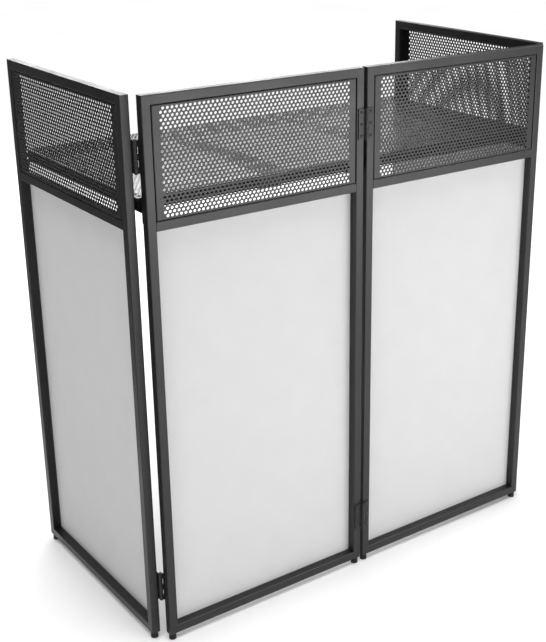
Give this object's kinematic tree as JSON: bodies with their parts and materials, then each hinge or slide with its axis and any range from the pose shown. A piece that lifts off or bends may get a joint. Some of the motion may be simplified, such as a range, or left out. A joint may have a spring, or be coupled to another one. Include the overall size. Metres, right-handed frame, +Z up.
{
  "type": "folding dj booth",
  "caption": "Free-standing folding DJ booth: hinged tube-framed panels with perforated grilles above white stretch scrims, around a lift-out perforated table.",
  "frame": {"origin": "on the floor, in the middle of the footprint", "axes": "+X to the right along the front as the audience sees it, +Y to the rear where the performer stands, +Z up"},
  "size_m": [1.137, 0.5734, 1.22],
  "materials": {
    "frame_steel": "black powder coat, satin",
    "grille_steel": "black powder coat on perforated sheet",
    "deck_steel": "black powder coat on perforated sheet",
    "hinge_steel": "black powder coat",
    "fastener_steel": "black oxide",
    "scrim_fabric": "white stretch knit",
    "hook_loop_tape": "black hook-and-loop tape",
    "foot_rubber": "matte black"
  },
  "bodies": {
    "front_left": {"centre_hinge_left_leaves": "hinge_steel", "centre_hinge_pins": "fastener_steel", "front_left_bottom_rail": "frame_steel", "front_left_buffer": "foot_rubber", "front_left_centre_post": "frame_steel", "front_left_feet": "foot_rubber", "front_left_grille": "grille_steel", "front_left_hinge_screws": "fastener_steel", "front_left_mid_rail": "frame_steel", "front_left_outer_post": "frame_steel", "front_left_scrim": "scrim_fabric", "front_left_scrim_tape": "hook_loop_tape", "front_left_table_brackets": "frame_steel", "front_left_top_rail": "frame_steel", "left_hinge_front_leaves": "hinge_steel", "left_hinge_pins": "fastener_steel"},
    "left_wing": {"left_hinge_wing_leaves": "hinge_steel", "left_wing_bottom_rail": "frame_steel", "left_wing_feet": "foot_rubber", "left_wing_grille": "grille_steel", "left_wing_hinge_post": "frame_steel", "left_wing_hinge_screws": "fastener_steel", "left_wing_mid_rail": "frame_steel", "left_wing_rear_post": "frame_steel", "left_wing_scrim": "scrim_fabric", "left_wing_scrim_tape": "hook_loop_tape", "left_wing_table_bracket": "frame_steel", "left_wing_top_rail": "frame_steel"},
    "front_right": {"centre_hinge_right_leaves": "hinge_steel", "front_right_bottom_rail": "frame_steel", "front_right_buffer": "foot_rubber", "front_right_centre_post": "frame_steel", "front_right_feet": "foot_rubber", "front_right_grille": "grille_steel", "front_right_hinge_screws": "fastener_steel", "front_right_mid_rail": "frame_steel", "front_right_outer_post": "frame_steel", "front_right_scrim": "scrim_fabric", "front_right_scrim_tape": "hook_loop_tape", "front_right_table_brackets": "frame_steel", "front_right_top_rail": "frame_steel", "right_hinge_front_leaves": "hinge_steel", "right_hinge_pins": "fastener_steel"},
    "right_wing": {"right_hinge_wing_leaves": "hinge_steel", "right_wing_bottom_rail": "frame_steel", "right_wing_feet": "foot_rubber", "right_wing_grille": "grille_steel", "right_wing_hinge_post": "frame_steel", "right_wing_hinge_screws": "fastener_steel", "right_wing_mid_rail": "frame_steel", "right_wing_rear_post": "frame_steel", "right_wing_scrim": "scrim_fabric", "right_wing_scrim_tape": "hook_loop_tape", "right_wing_table_bracket": "frame_steel", "right_wing_top_rail": "frame_steel"},
    "table": {"table_deck": "deck_steel", "table_front_rail": "frame_steel", "table_left_cross_member": "frame_steel", "table_left_rail": "frame_steel", "table_rear_rail": "frame_steel", "table_right_cross_member": "frame_steel", "table_right_rail": "frame_steel"}
  },
  "joints": [
    {"name": "left_wing_swing", "type": "hinge", "parent": "front_left", "child": "left_wing", "pos_m": [-0.544, -0.25325, 0.6], "axis": [0, 0, 1], "range_deg": [0, 90]},
    {"name": "front_fold", "type": "hinge", "parent": "front_left", "child": "front_right", "pos_m": [0, -0.28225, 0.6], "axis": [0, 0, -1], "range_deg": [0, 180]},
    {"name": "right_wing_swing", "type": "hinge", "parent": "front_right", "child": "right_wing", "pos_m": [0.544, -0.25325, 0.6], "axis": [0, 0, -1], "range_deg": [0, 90]},
    {"name": "table_lift", "type": "slide", "parent": "front_left", "child": "table", "axis": [0, 0, 1], "range_m": [0, 0.28]}
  ]
}
